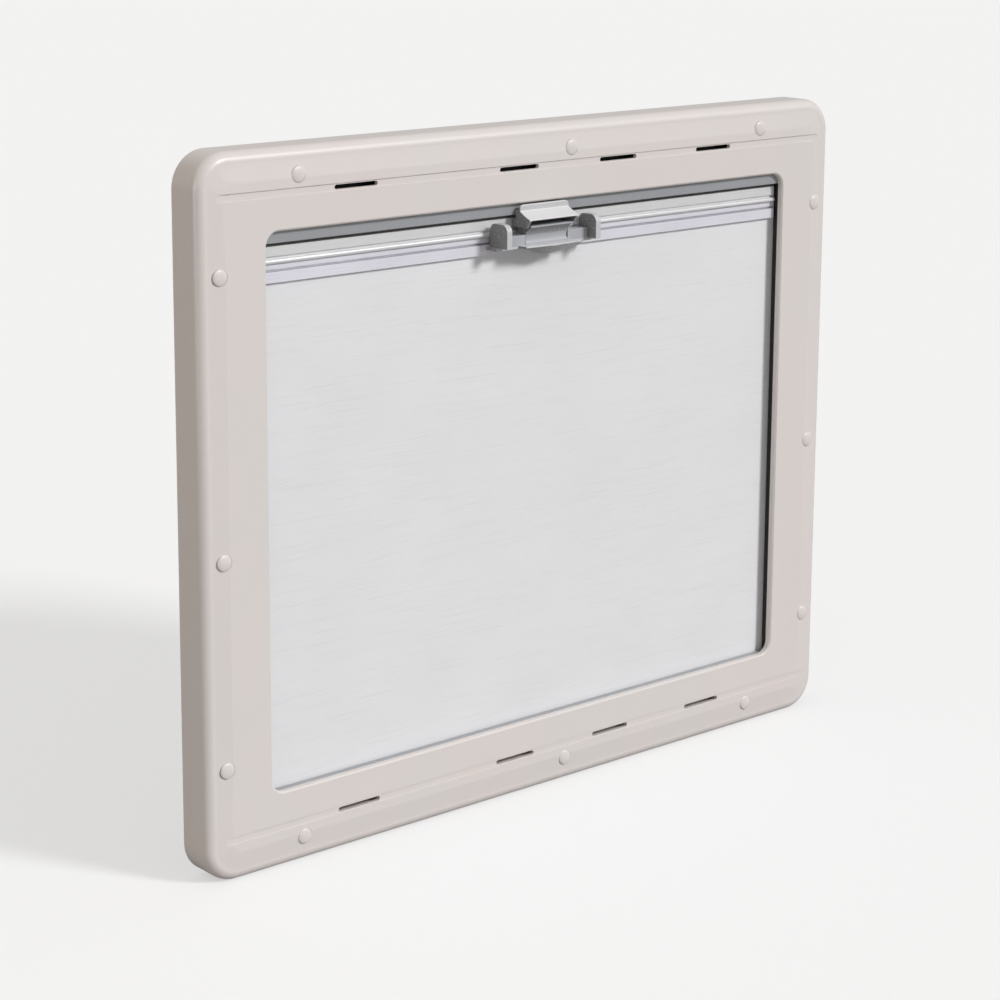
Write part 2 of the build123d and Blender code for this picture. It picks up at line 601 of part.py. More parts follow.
# Hooked finger tab of the flyscreen: upright plate, sloping hook and two side walls
TAB_EAVE = Z_TOP - TAB_TOP
TAB_RIDGE = TAB_EAVE - TAB_PLATE
TAB_EDGE = TAB_RIDGE - TAB_FALL
TAB_LOW = TAB_EDGE - TAB_NOSE - TAB_DROP
LEG_LOW = BASE_Z + GRIP_H + TAB_FIT
PLATE_BACK = DEPTH - TAB_T / 2
with BuildPart() as flyscreen_tab:
    with BuildSketch(Plane.YZ.offset(CATCH_X - TAB_W / 2)):
        with BuildLine():
            Polyline(
                (-TAB_FRONT + TAB_TUCK, TAB_LOW),
                (-TAB_FRONT, TAB_EDGE - TAB_NOSE),
                (-TAB_FRONT, TAB_EDGE),
            )
            ThreePointArc(
                (-TAB_FRONT, TAB_EDGE),
                (-(TAB_FRONT + PLATE_BACK + TAB_T) / 2, (TAB_EDGE + TAB_RIDGE) / 2 - TAB_FIT),
                (-PLATE_BACK - TAB_T, TAB_RIDGE),
            )
            Polyline(
                (-PLATE_BACK - TAB_T, TAB_RIDGE),
                (-PLATE_BACK - TAB_T, TAB_EAVE),
                (-PLATE_BACK, TAB_EAVE),
                (-PLATE_BACK, TAB_RIDGE),
                (-LIP_BACK - TAB_FIT, TAB_RIDGE),
                (-LIP_BACK - TAB_FIT, SCREEN_Z - TAB_FIT),
                (-RAIL_FRONT, SCREEN_Z - TAB_FIT),
                (-RAIL_FRONT, TAB_LOW),
                (-TAB_FRONT + TAB_TUCK, TAB_LOW),
            )
        make_face()
    extrude(amount=TAB_W)
    with BuildSketch(Plane.XY.offset(TAB_LOW)):
        with Locations((CATCH_X, -(TAB_FRONT + RAIL_FRONT + TAB_SIDE) / 2 - TAB_SIDE)):
            Rectangle(TAB_W - 2 * TAB_SIDE, TAB_FRONT - RAIL_FRONT)
    extrude(amount=TAB_EDGE - TAB_NOSE - TAB_LOW, mode=Mode.SUBTRACT)
    with BuildSketch(Plane.XY.offset(TAB_LOW)):
        with Locations((CATCH_X, -(TAB_FRONT + RAIL_FRONT) / 2)):
            Rectangle(TAB_W - 2 * TAB_SIDE, TAB_FRONT - RAIL_FRONT)
    extrude(amount=LEG_LOW - TAB_LOW, mode=Mode.SUBTRACT)
    with BuildSketch(Plane.XZ.offset(RAIL_FRONT)):
        with Locations((CATCH_X, (TAB_EAVE + TAB_LOW) / 2)):
            RectangleRounded(TAB_W, TAB_EAVE - TAB_LOW, TAB_R)
        with Locations((CATCH_X, (TAB_RIDGE + TAB_LOW) / 2)):
            Rectangle(TAB_W, TAB_RIDGE - TAB_LOW)
    extrude(amount=TAB_FRONT - RAIL_FRONT, mode=Mode.INTERSECT)
keep(flyscreen_tab, "flyscreen_tab")
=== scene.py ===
"""Looks of a caravan window's inner frame with its roller blind and flyscreen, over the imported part."""
import json
import math
import bpy
from bpy.props import FloatProperty, FloatVectorProperty, PointerProperty
from mathutils import Euler, Matrix, Vector


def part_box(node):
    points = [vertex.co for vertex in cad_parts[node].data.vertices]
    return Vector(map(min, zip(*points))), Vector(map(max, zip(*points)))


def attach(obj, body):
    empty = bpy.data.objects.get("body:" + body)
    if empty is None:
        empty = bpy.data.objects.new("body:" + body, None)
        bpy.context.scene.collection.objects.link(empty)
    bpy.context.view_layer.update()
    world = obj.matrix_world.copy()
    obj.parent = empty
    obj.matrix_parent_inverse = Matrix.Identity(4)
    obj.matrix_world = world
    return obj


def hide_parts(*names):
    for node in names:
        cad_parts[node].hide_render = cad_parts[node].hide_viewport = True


bl_info = {
    "name": "Caravan Window Inner Frame",
    "version": (1, 0, 0),
    "blender": (4, 5, 0),
    "location": "View3D > Sidebar > Window",
    "description": "Dresses the packed window frame, its blind and its twin catch",
    "category": "Object",
}

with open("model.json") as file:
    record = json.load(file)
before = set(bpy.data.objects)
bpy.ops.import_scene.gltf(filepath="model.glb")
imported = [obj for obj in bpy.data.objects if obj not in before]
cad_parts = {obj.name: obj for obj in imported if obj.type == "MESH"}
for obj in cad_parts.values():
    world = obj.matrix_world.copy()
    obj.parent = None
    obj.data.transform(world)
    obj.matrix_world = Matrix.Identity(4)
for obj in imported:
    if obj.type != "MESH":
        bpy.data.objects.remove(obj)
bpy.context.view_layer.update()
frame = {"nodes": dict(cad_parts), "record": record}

MM = 0.001
BEZEL_LOW, BEZEL_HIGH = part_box("front_bezel")
FRONT_Y = BEZEL_LOW.y
MID_Z = (BEZEL_LOW.z + BEZEL_HIGH.z) / 2

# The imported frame's front: its channels lie far from the middle, and its crown slopes back to the edge.
GROOVE_DEEP = 1.1 * MM
GROOVE_NEAR = 0.15 * MM
GROOVE_AWAY = 200 * MM
CROWN_IN = 22.5 * MM
CROWN_DROP = 1.9 * MM
CAP_ROWS = ("top", "bottom", "left", "right")

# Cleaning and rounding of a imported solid's copy.
WELD = 0.002 * MM
FLAT_ANGLE = math.radians(0.6)
EDGE_SEGMENTS = 3

# A screw cap: sides of its rim, rings of its dome, how far in they run, and its plug's share of the width.
CAP_SIDES = 40
DOME_RINGS = 7
DOME_REACH = 0.96
PLUG_SHARE = 0.85

# The twin catch: the scooped front of the blind's grip, and the lip below it.
GRIP_FRONT = 5.6 * MM
GRIP_RISE = 13 * MM
LIP_DEEP = 9.5 * MM
LIP_INSIDE = 0.1 * MM
LIP_OVER = 0.3 * MM
LIP_STEPS = 14
LIP_EDGE = 0.4 * MM
RAIL_SEAM_UP = 8.2 * MM

# Fine detail of the finishes.
SPARK_GRAIN = 0.5 * MM
SPARK_DEPTH = 0.02 * MM
CLOUD_TINT = 0.008
DOT_PITCH = 2.2 * MM
DOT_LIGHT = 2.6
MESH_PITCH = 1.2 * MM

# Camera and lights, in degrees and metres. The light from all round changes along SIDE_AXIS.
CAMERA_PLACE = (-1.29083, -1.48573, 0.48362 + MID_Z)
CAMERA_DOWN = 11.413
CAMERA_ROUND = -40.568
CAMERA_ROLL = 0.352
SENSOR_WIDTH = 36.0
KEY_FROM = (0.40, -0.76, 0.51)
KEY_SPREAD = 13
STRIP_PLACE = (-2.6, -0.25, MID_Z - 0.3)
STRIP_WIDTH = 0.2
STRIP_HEIGHT = 2.6
SIDE_AXIS = (0.85, -0.4, 0.34)
LEFT_LEVEL = 1.75
RIGHT_LEVEL = 0.8
LEFT_HUE = (1.1, 0.975, 0.84, 1)
RIGHT_HUE = (0.99, 1.0, 1.01, 1)
FLOOR_SIZE = 60
FLOOR_BELOW = 0.2 * MM
FLOOR_BOUNCE = (0.4, 0.395, 0.39, 1)


def colour(name, text, default):
    """A colour a user may change."""
    return FloatVectorProperty(
        name=name, description=text, default=default, size=3, min=0, max=1, subtype="COLOR"
    )


def length(name, text, default):
    """A length in metres a user may change."""
    return FloatProperty(name=name, description=text, default=default, min=0, unit="LENGTH")


def number(name, text, default, **more):
    """A number a user may change."""
    return FloatProperty(name=name, description=text, default=default, **more)


class WindowFinishes(bpy.types.PropertyGroup):
    """Colours of the parts"""

    bezel: colour("Bezel", "Moulded plastic of the frame", (0.708, 0.659, 0.637))
    fabric: colour("Blind cloth", "Coated cloth of the blind", (0.735, 0.735, 0.751))
    lacquer: colour("Rails", "Silver lacquer of the rails", (0.755, 0.755, 0.765))
    lower_rail: colour("Lower rail", "Lilac-white lacquer of the blind's rail", (0.815, 0.805, 0.88))
    catch: colour("Catch", "Pale grey plastic of the catch's base", (0.55, 0.555, 0.57))
    tab: colour("Tab", "Pale plastic of the flyscreen's tab", (0.70, 0.70, 0.71))
    grip: colour("Grip", "Grey plastic of the blind's grip", (0.41, 0.42, 0.445))
    # Painted shade: this dark colour on the catch's sides and undersides stands in for their shade; its
    # light dots are grain.
    shade: colour("Catch sides", "Dark grained sides of the catch", (0.225, 0.225, 0.23))
    cassette: colour("Cassettes", "Grey extrusion of the cassettes and guides", (0.37, 0.38, 0.40))
    # Painted shade: this darkened tan behind the lower slots stands in for the frame's plastic in shade
    # inside the slots.
    pocket: colour("Lower vents", "Brown-grey plastic behind the lower slots", (0.52, 0.475, 0.45))
    mesh: colour("Flyscreen", "Grey threads of the flyscreen", (0.30, 0.29, 0.28))
    # The pile is black of its own; behind the upper slots this black is painted shade, standing in for the
    # dark hollow.
    dark: colour("Upper vents", "Black plastic and pile in the gaps", (0.012, 0.012, 0.012))


class WindowSizes(bpy.types.PropertyGroup):
    """Small sizes of the finish"""

    bezel_edge: length("Bezel edge", "Rounding of the frame's sharp edges", 0.45 * MM)
    channel: length("Channel depth", "Depth of the shallow channels in the frame's front", 0.95 * MM)
    crown_band: length("Crown band", "Half width of the soft band at the crown's edge", 3 * MM)
    catch_edge: length("Catch edge", "Rounding of the catch's edges", 0.7 * MM)
    cap_radius: length("Cap radius", "Radius of a screw cap's domed head", 6.2 * MM)
    cap_rim: length("Cap rim", "How far a screw cap's rim lies behind the front plane", 0.5 * MM)
    cap_dome: length("Cap dome", "Height of a screw cap's dome over its rim", 1.6 * MM)
    lip_width: length("Lip width", "Width of the bowed lip under the grip", 56 * MM)
    lip_bow: length("Lip bow", "How far the lip's front bows out", 1.5 * MM)
    lip_thick: length("Lip thickness", "Thickness of the bowed lip", 1.4 * MM)
    grip_set: length("Grip set-back", "How far the grip's foot is drawn back", 3.8 * MM)


class WindowStage(bpy.types.PropertyGroup):
    """Light, floor and camera"""

    backdrop: colour("Backdrop", "Pale backdrop that the camera sees", (0.913, 0.913, 0.913))
    floor: number("Floor", "Share of the backdrop's colour", 0.5, min=0, max=1, subtype="FACTOR")
    ambient: number("Ambient", "Light from all round", 0.41, min=0)
    key: number("Key", "Strength of the key light", 2.3, min=0)
    strip: number("Strip", "Power of the left strip lamp", 45.0, min=0, unit="POWER")
    glow: number("Floor lift", "Light the camera sees from the floor", 0.552, min=0)
    lens: number("Lens", "Focal length of the camera", 92.02, min=1, unit="CAMERA")
    shift: number("Shift", "Upright shift of the camera", -0.15)


def deselect():
    """Nothing stays selected or in edit mode."""
    if bpy.context.object and bpy.context.object.mode != "OBJECT":
        bpy.ops.object.mode_set(mode="OBJECT")
    bpy.ops.object.select_all(action="DESELECT")


def take(piece):
    """The piece is the one that is selected and active."""
    deselect()
    piece.select_set(True)
    bpy.context.view_layer.objects.active = piece


def pick(piece, kind, wanted):
    """Edit mode with only the wanted vertices or polygons of a piece selected."""
    take(piece)
    bpy.ops.object.mode_set(mode="EDIT")
    bpy.context.tool_settings.mesh_select_mode = (kind == "vertices", False, kind == "polygons")
    bpy.ops.mesh.select_all(action="DESELECT")
    bpy.ops.object.mode_set(mode="OBJECT")
    for element in getattr(piece.data, kind):
        element.select = wanted(element)
    bpy.ops.object.mode_set(mode="EDIT")


def apply_all(piece):
    """Every modifier becomes part of the mesh."""
    take(piece)
    for name in [m.name for m in piece.modifiers]:
        bpy.ops.object.modifier_apply(modifier=name)


def wear(piece, material):
    """The piece gets its finish and its body."""
    piece.data.materials.clear()
    piece.data.materials.append(material)
    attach(piece, "root")


def softened(node, name, edge, limit, shape):
    """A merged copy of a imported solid, shaped if asked and rounded, which stands for that solid."""
    piece = bpy.data.objects.new(name, frame["nodes"][node].data.copy())
    bpy.context.scene.collection.objects.link(piece)
    take(piece)
    if piece.data.has_custom_normals:
        bpy.ops.mesh.customdata_custom_splitnormals_clear()
    bpy.ops.object.mode_set(mode="EDIT")
    bpy.ops.mesh.select_all(action="SELECT")
    bpy.ops.mesh.remove_doubles(threshold=WELD)
    bpy.ops.mesh.dissolve_limited(angle_limit=FLAT_ANGLE)
    bpy.ops.object.mode_set(mode="OBJECT")
    if shape:
        shape(piece)
    bevel = piece.modifiers.new("edge", "BEVEL")
    bevel.width = edge
    bevel.segments = EDGE_SEGMENTS
    bevel.limit_method = "ANGLE"
    bevel.angle_limit = math.radians(limit)
    bpy.ops.object.shade_smooth_by_angle(angle=math.radians(limit))
    normals = piece.modifiers.new("normals", "WEIGHTED_NORMAL")
    normals.keep_sharp = True
    apply_all(piece)
    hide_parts(node)
    return piece


class Finish:
    """A material under construction, with the nodes that most finishes share."""

    def __init__(self, name, roughness, metallic=0.0):
        self.material = bpy.data.materials.new(name)
        self.material.use_nodes = True
        self.nodes = self.material.node_tree.nodes
        self.links = self.material.node_tree.links
        self.shader = self.nodes["Principled BSDF"]
        self.shader.inputs["Roughness"].default_value = roughness
        self.shader.inputs["Metallic"].default_value = metallic
        self.place = self.nodes.new("ShaderNodeTexCoord").outputs["Object"]
        self.height = None

    def noise(self, size, stretch=(1, 1, 1), detail=2.0):
        """Noise whose features are about size metres, stretched along the axes."""
        mapping = self.nodes.new("ShaderNodeMapping")
        mapping.inputs["Scale"].default_value = [1 / (size * s) for s in stretch]
        noise = self.nodes.new("ShaderNodeTexNoise")
        noise.inputs["Scale"].default_value = 1.0
        noise.inputs["Detail"].default_value = detail
        self.links.new(self.place, mapping.inputs["Vector"])
        self.links.new(mapping.outputs["Vector"], noise.inputs["Vector"])
        return noise.outputs["Fac"]

    def spread(self, value, low, high, start=0.3, end=0.7):
        """A value between start and end becomes one between low and high."""
        node = self.nodes.new("ShaderNodeMapRange")
        node.inputs["From Min"].default_value = start
        node.inputs["From Max"].default_value = end
        node.inputs["To Min"].default_value = low
        node.inputs["To Max"].default_value = high
        self.links.new(value, node.inputs["Value"])
        return node.outputs["Result"]

    def combine(self, operation, first, second=None):
        """What a sum gives for one value, or for it and a second value or a number."""
        node = self.nodes.new("ShaderNodeMath")
        node.operation = operation
        self.links.new(first, node.inputs[0])
        if isinstance(second, float):
            node.inputs[1].default_value = second
        elif second is not None:
            self.links.new(second, node.inputs[1])
        return node.outputs["Value"]

    def blend(self, value, first, second):
        """A colour that runs with the value from the first to the second, each a colour or an output."""
        mix = self.nodes.new("ShaderNodeMix")
        mix.data_type = "RGBA"
        for socket, end in (("A", first), ("B", second)):
            if isinstance(end, bpy.types.NodeSocket):
                self.links.new(end, mix.inputs[socket])
            else:
                mix.inputs[socket].default_value = [*end, 1]
        self.links.new(value, mix.inputs["Factor"])
        return mix.outputs["Result"]

    def paint(self, colour_from):
        """The surface takes its colour from an output."""
        self.links.new(colour_from, self.shader.inputs["Base Color"])

    def tint(self, colour_at, value, dark, light):
        """The colour runs from dark to light times itself with the value."""
        low = [c * dark for c in colour_at]
        high = [min(1, c * light) for c in colour_at]
        self.paint(self.blend(value, low, high))

    def rough(self, value, low, high):
        """The roughness follows the value."""
        self.links.new(self.spread(value, low, high), self.shader.inputs["Roughness"])

    def bump(self, value, depth):
        """The surface rises by depth metres where the value is high, over earlier bumps."""
        bump = self.nodes.new("ShaderNodeBump")
        bump.inputs["Distance"].default_value = depth
        self.links.new(value, bump.inputs["Height"])
        if self.height:
            self.links.new(self.height, bump.inputs["Normal"])
        self.links.new(bump.outputs["Normal"], self.shader.inputs["Normal"])
        self.height = bump.outputs["Normal"]


def moulded_plastic(name, colour_at, roughness):
    """Moulded plastic with a fine spark grain and faint clouds between a rosy and a greyish tone."""
    finish = Finish(name, roughness)
    flow = finish.noise(55 * MM, (1, 1, 1.8))
    fine = finish.noise(SPARK_GRAIN, detail=1)
    rosy = (1 + CLOUD_TINT, 1 - CLOUD_TINT, 1 - CLOUD_TINT)
    warm = [c * t for c, t in zip(colour_at, rosy)]
    cool = [c * (2 - t) for c, t in zip(colour_at, rosy)]
    finish.paint(finish.blend(finish.spread(flow, 0, 1), warm, cool))
    finish.rough(fine, roughness - 0.05, roughness + 0.07)
    finish.bump(fine, SPARK_DEPTH)
    return finish.material


def lacquered_rail(name, colour_at, line=None):
    """Silver lacquer on an extrusion, with draw lines along it and a dark seam at the height given."""
    finish = Finish(name, 0.32, 0.25)
    draw = finish.noise(0.35 * MM, (160, 1, 1))
    cloud = finish.noise(35 * MM, (2, 1, 1))
    tone = finish.spread(cloud, 0.94, 1)
    if line is not None:
        split = finish.nodes.new("ShaderNodeSeparateXYZ")
        finish.links.new(finish.place, split.inputs["Vector"])
        away = finish.combine("ABSOLUTE", finish.combine("SUBTRACT", split.outputs["Z"], line))
        seam = finish.spread(away, 0.55, 1, 0.25 * MM, 0.7 * MM)
        tone = finish.combine("MULTIPLY", tone, seam)
        finish.bump(seam, 0.2 * MM)
    finish.tint(colour_at, tone, 0.0, 1.04)
    finish.rough(draw, 0.26, 0.4)
    finish.bump(draw, 0.01 * MM)
    return finish.material


def coated_cloth(name, colour_at):
    """Coated blind cloth: a tight weave, thin dark slubs along its threads and faint clouds."""
    finish = Finish(name, 0.72)
    slub = finish.noise(0.9 * MM, (55, 1, 1))
    thread = finish.noise(0.6 * MM, (20, 1, 1))
    cloud = finish.noise(80 * MM, (1, 1, 0.7))
    plain = finish.combine("ADD", finish.spread(thread, 0, 0.4), finish.spread(cloud, 0, 0.6))
    streaked = finish.combine("SUBTRACT", plain, finish.spread(slub, 0, 1, 0.58, 0.72))
    finish.tint(colour_at, finish.spread(streaked, 0, 1, -1, 1), 0.945, 1.045)
    finish.rough(cloud, 0.66, 0.78)
    finish.bump(finish.spread(slub, 1, 0, 0.55, 0.75), 0.05 * MM)
    finish.bump(thread, 0.03 * MM)
    finish.shader.inputs["Sheen Weight"].default_value = 0.1
    return finish.material


def insect_mesh(name, colour_at):
    """Fine woven threads with dark gaps between them."""
    finish = Finish(name, 0.6)
    waves = []
    for axis in ("X", "Z"):
        wave = finish.nodes.new("ShaderNodeTexWave")
        wave.bands_direction = axis
        wave.inputs["Scale"].default_value = math.pi / (10 * MESH_PITCH)
        finish.links.new(finish.place, wave.inputs["Vector"])
        waves.append(wave.outputs["Fac"])
    threads = finish.combine("MAXIMUM", *waves)
    finish.tint(colour_at, finish.spread(threads, 0, 1, 0.5, 0.9), 0.4, 1.0)
    finish.bump(threads, 0.1 * MM)
    return finish.material


def brush_pile(name, colour_at):
    """Black pile of the draught brushes, combed across the gap."""
    finish = Finish(name, 0.85)
    hairs = finish.noise(0.25 * MM, (1, 12, 1))
    finish.tint(colour_at, finish.spread(hairs, 0, 1), 0.5, 2.2)
    finish.bump(hairs, 0.25 * MM)
    return finish.material


def grip_plastic(name, colour_at, shade, upright=1.0):
    """Grey plastic with painted shade: darker by a share where it stands upright, and dark sides and
    undersides with light dots of grain.
    """
    finish = Finish(name, 0.38)
    dots = finish.nodes.new("ShaderNodeTexVoronoi")
    dots.inputs["Scale"].default_value = 1 / DOT_PITCH
    dots.inputs["Randomness"].default_value = 0.85
    finish.links.new(finish.place, dots.inputs["Vector"])
    speck = finish.spread(dots.outputs["Distance"], 1, 0, 0.12, 0.26)
    facing = finish.nodes.new("ShaderNodeSeparateXYZ")
    normal = finish.nodes.new("ShaderNodeNewGeometry").outputs["Normal"]
    finish.links.new(normal, facing.inputs["Vector"])
    # Painted shade: faces turned to the sides or downwards take the dark colour.
    side_shade = finish.spread(finish.combine("ABSOLUTE", facing.outputs["X"]), 0, 1, 0.7, 0.9)
    under = finish.spread(facing.outputs["Z"], 0.85, 0, -0.5, -0.3)
    above = finish.spread(facing.outputs["Z"], 0, 1, 0.05, 0.4)
    dotted_shade = finish.blend(speck, shade, [min(1, c * DOT_LIGHT) for c in shade])
    # Painted shade: faces that do not face up take the colour times the upright share.
    front = finish.blend(above, [c * upright for c in colour_at], colour_at)
    finish.paint(finish.blend(finish.combine("MAXIMUM", side_shade, under), front, dotted_shade))
    fine = finish.noise(0.3 * MM)
    finish.rough(fine, 0.32, 0.46)
    finish.bump(speck, 0.03 * MM)
    finish.bump(fine, 0.015 * MM)
    return finish.material


def strip_lamp(power):
    """A soft oblong lamp at the left that faces the middle of the window and shows only in its sheen."""
    data = bpy.data.lights.new("strip", "AREA")
    data.shape = "RECTANGLE"
    data.size = STRIP_WIDTH
    data.size_y = STRIP_HEIGHT
    data.energy = power
    lamp = bpy.data.objects.new("strip", data)
    lamp.location = STRIP_PLACE
    towards = Vector((0, 0, MID_Z)) - Vector(STRIP_PLACE)
    lamp.rotation_euler = towards.to_track_quat("-Z", "Y").to_euler()
    lamp.visible_diffuse = False
    lamp.visible_camera = False
    bpy.context.scene.collection.objects.link(lamp)


def key_light(strength):
    """A broad distant light from the upper right in front."""
    data = bpy.data.lights.new("key", "SUN")
    data.energy = strength
    data.angle = math.radians(KEY_SPREAD)
    lamp = bpy.data.objects.new("key", data)
    lamp.location = Vector(KEY_FROM) * 2
    lamp.rotation_euler = Vector(KEY_FROM).to_track_quat("Z", "Y").to_euler()
    bpy.context.scene.collection.objects.link(lamp)


def studio_world(stage):
    """Light from all round, stronger and warmer from the left and behind, and a pale backdrop."""
    world = bpy.data.worlds.new("studio")
    world.use_nodes = True
    nodes, links = world.node_tree.nodes, world.node_tree.links
    way = nodes.new("ShaderNodeTexCoord").outputs["Generated"]
    across = nodes.new("ShaderNodeVectorMath")
    across.operation = "DOT_PRODUCT"
    across.inputs[1].default_value = SIDE_AXIS
    links.new(way, across.inputs[0])
    level = nodes.new("ShaderNodeMapRange")
    level.inputs["From Min"].default_value = -1.0
    level.inputs["To Min"].default_value = stage.ambient * LEFT_LEVEL
    level.inputs["To Max"].default_value = stage.ambient * RIGHT_LEVEL
    links.new(across.outputs["Value"], level.inputs["Value"])
    light = nodes["Background"]
    hue = nodes.new("ShaderNodeMix")
    hue.data_type = "RGBA"
    hue.inputs["A"].default_value = LEFT_HUE
    hue.inputs["B"].default_value = RIGHT_HUE
    share = nodes.new("ShaderNodeMapRange")
    share.inputs["From Min"].default_value = -0.8
    share.inputs["From Max"].default_value = 0.2
    links.new(across.outputs["Value"], share.inputs["Value"])
    links.new(share.outputs["Result"], hue.inputs["Factor"])
    links.new(hue.outputs["Result"], light.inputs["Color"])
    links.new(level.outputs["Result"], light.inputs["Strength"])
    seen = nodes.new("ShaderNodeBackground")
    seen.inputs["Color"].default_value = (*stage.backdrop, 1)
    ray = nodes.new("ShaderNodeLightPath")
    either = nodes.new("ShaderNodeMath")
    either.operation = "MAXIMUM"
    mix = nodes.new("ShaderNodeMixShader")
    links.new(ray.outputs["Is Camera Ray"], either.inputs[0])
    links.new(ray.outputs["Is Transmission Ray"], either.inputs[1])
    links.new(either.outputs["Value"], mix.inputs["Fac"])
    links.new(light.outputs["Background"], mix.inputs[1])
    links.new(seen.outputs["Background"], mix.inputs[2])
    links.new(mix.outputs["Shader"], nodes["World Output"].inputs["Surface"])
    return world


def pale_floor(stage):
    """A pale matt floor that the camera sees as bright as the backdrop, with the shadows kept."""
    ground = Finish("pale_floor", 1.0)
    ground.shader.inputs["Specular IOR Level"].default_value = 0.0
    ground.tint([c * stage.floor for c in stage.backdrop], ground.noise(0.5), 0.996, 1.0)
    ground.shader.inputs["Emission Color"].default_value = (*stage.backdrop, 1)
    ground.shader.inputs["Emission Strength"].default_value = stage.glow
    dim = ground.nodes.new("ShaderNodeBsdfDiffuse")
    dim.inputs["Color"].default_value = FLOOR_BOUNCE
    ray = ground.nodes.new("ShaderNodeLightPath")
    mix = ground.nodes.new("ShaderNodeMixShader")
    ground.links.new(ray.outputs["Is Camera Ray"], mix.inputs["Fac"])
    ground.links.new(dim.outputs["BSDF"], mix.inputs[1])
    ground.links.new(ground.shader.outputs["BSDF"], mix.inputs[2])
    ground.links.new(mix.outputs["Shader"], ground.nodes["Material Output"].inputs["Surface"])
    return ground.material


class WINDOW_OT_stage(bpy.types.Operator):
    """Add the camera, the lights, the pale floor and the backdrop"""

    bl_idname = "window.stage"
    bl_label = "Stage"

    def execute(self, context):
        scene = context.scene
        stage = scene.window_stage
        scene.view_settings.view_transform = "Standard"
        camera_data = bpy.data.cameras.new("camera")
        camera_data.lens = stage.lens
        camera_data.sensor_width = SENSOR_WIDTH
        camera_data.shift_y = stage.shift
        camera = bpy.data.objects.new("camera", camera_data)
        turn = Euler((math.radians(90 - CAMERA_DOWN), 0, math.radians(CAMERA_ROUND))).to_matrix().to_4x4()
        roll = Matrix.Rotation(math.radians(CAMERA_ROLL), 4, "Z")
        camera.matrix_world = Matrix.Translation(Vector(CAMERA_PLACE)) @ turn @ roll
        scene.collection.objects.link(camera)
        scene.camera = camera
        key_light(stage.key)
        strip_lamp(stage.strip)
        scene.world = studio_world(stage)
        deselect()
        bpy.ops.mesh.primitive_plane_add(size=FLOOR_SIZE, location=(0, 0, BEZEL_LOW.z - FLOOR_BELOW))
        floor = context.object
        floor.name = "floor"
        floor.data.materials.append(pale_floor(stage))
        return {"FINISHED"}


class WINDOW_OT_bezel(bpy.types.Operator):
    """Soften the moulded frame's front and edges and give it its plastic"""

    bl_idname = "window.bezel"
    bl_label = "Bezel"

    def mould(self, piece):
        """Shallower channels, and narrow bands beside the crown's edge that smooth its shading."""
        sizes = bpy.context.scene.window_sizes
        floor = FRONT_Y + GROOVE_DEEP

        def in_channel(vertex):
            return abs(vertex.co.y - floor) < GROOVE_NEAR and abs(vertex.co.z - MID_Z) > GROOVE_AWAY

        def on_crown(face):
            return face.normal.y < -0.95 and face.center.y < FRONT_Y + CROWN_DROP

        pick(piece, "vertices", in_channel)
        bpy.ops.transform.translate(value=(0, sizes.channel - GROOVE_DEEP, 0))
        half = (BEZEL_HIGH - BEZEL_LOW) / 2
        for away in (CROWN_IN - sizes.crown_band, CROWN_IN + sizes.crown_band):
            for side in (-1, 1):
                for reach, normal in ((half.x, (1, 0, 0)), (half.z, (0, 0, 1))):
                    pick(piece, "polygons", on_crown)
                    place = [side * (reach - away) * n for n in normal]
                    place[2] += MID_Z
                    bpy.ops.mesh.bisect(plane_co=place, plane_no=normal)
        bpy.ops.object.mode_set(mode="OBJECT")

    def execute(self, context):
        finishes = context.scene.window_finishes
        sizes = context.scene.window_sizes
        bezel = softened("front_bezel", "bezel_moulding", sizes.bezel_edge, 35, self.mould)
        wear(bezel, moulded_plastic("moulded_bezel", finishes.bezel, 0.36))
        return {"FINISHED"}


def cap_places():
    """The screw places in the front view, by row, from the record's bolt patterns."""
    places = {row: [] for row in CAP_ROWS}
    for mount in frame["record"]["mounts"]:
        if mount["kind"] != "bolt_pattern":
            continue
        middle = Vector(mount["pos_m"])
        across = mount["dims"].get("spacing_x_mm", 0) * MM / 2
        upright = mount["dims"].get("spacing_y_mm", 0) * MM / 2
        for x in {middle.x - across, middle.x + across}:
            for z in {middle.z - upright, middle.z + upright}:
                if "side" in mount["name"]:
                    row = "left" if x < 0 else "right"
                else:
                    row = "bottom" if z < middle.z else "top"
                places[row].append((x, z))
    return {row: sorted(spots) for row, spots in places.items()}


